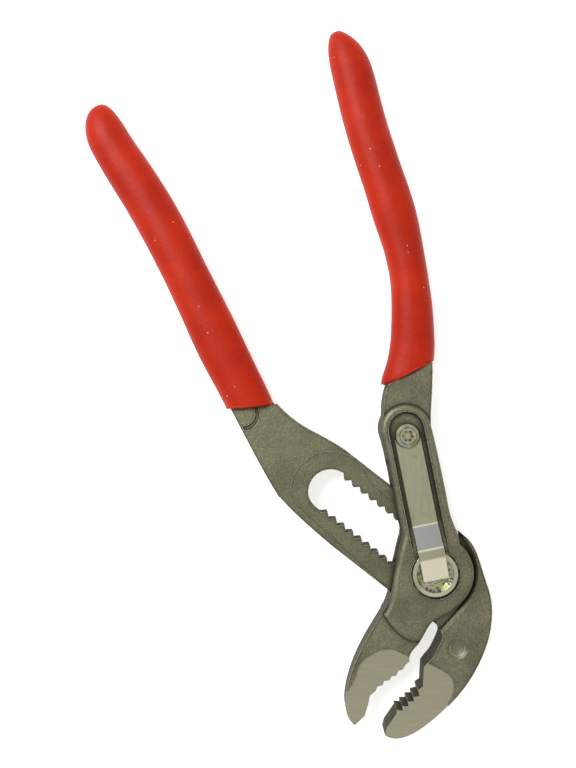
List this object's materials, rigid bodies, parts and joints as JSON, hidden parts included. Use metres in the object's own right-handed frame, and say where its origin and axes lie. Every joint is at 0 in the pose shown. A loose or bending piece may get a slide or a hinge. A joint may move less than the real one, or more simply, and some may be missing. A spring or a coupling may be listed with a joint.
{
  "type": "tongue and groove pliers",
  "caption": "adjustable water pump pliers with a box joint, toothed slot, push-button pivot pin, leaf spring and dip-coated red grips, jaws slightly open",
  "frame": {"origin": "on the pivot axis, in the plane of the push button's end face", "axes": "+Y along the handles, +X to the right seen from the leaf spring's side, +Z out of the side with the leaf spring"},
  "size_m": [0.1522, 0.2646, 0.0171],
  "materials": {
    "outer_half": "forged, phosphated and oiled, ground jaw faces",
    "outer_grip": "dip-coated PVC",
    "inner_half": "forged, phosphated and oiled, ground jaw faces",
    "inner_grip": "dip-coated PVC",
    "pivot_pin": "turned and hardened",
    "pivot_bush": "hardened, oiled",
    "leaf_spring": "tempered strip",
    "spring_screw": "zinc plated, yellow passivated"
  },
  "bodies": {
    "outer": {"outer_half": "outer_half", "outer_grip": "outer_grip", "spring_screw": "spring_screw"},
    "bush": {"pivot_bush": "pivot_bush"},
    "pin": {"pivot_pin": "pivot_pin"},
    "inner": {"inner_half": "inner_half", "inner_grip": "inner_grip"},
    "leaf": {"leaf_spring": "leaf_spring"}
  },
  "joints": [
    {"name": "pivot", "type": "hinge", "parent": "outer", "child": "bush", "pos_m": [0, 0, 0.0089], "axis": [0, 0, 1], "range_deg": [-9, 3.5]},
    {"name": "joint_setting", "type": "slide", "parent": "bush", "child": "inner", "axis": [0.7891, -0.6143, 0], "range_m": [0, 0.048]},
    {"name": "button_press", "type": "slide", "parent": "bush", "child": "pin", "axis": [0, 0, 1], "range_m": [0, 0.0026], "stiffness_N_per_m": 2500, "springref_m": -0.002},
    {"name": "leaf_flex", "type": "hinge", "parent": "outer", "child": "leaf", "pos_m": [-0.00929, 0.04607, 0.0134], "axis": [-0.9803, -0.1977, 0], "range_deg": [0, 3.3], "deforming": ["leaf_spring"]}
  ],
  "couplings": [
    {"joint": "leaf_flex", "follows": "button_press", "rad_per_m": 21.277}
  ]
}
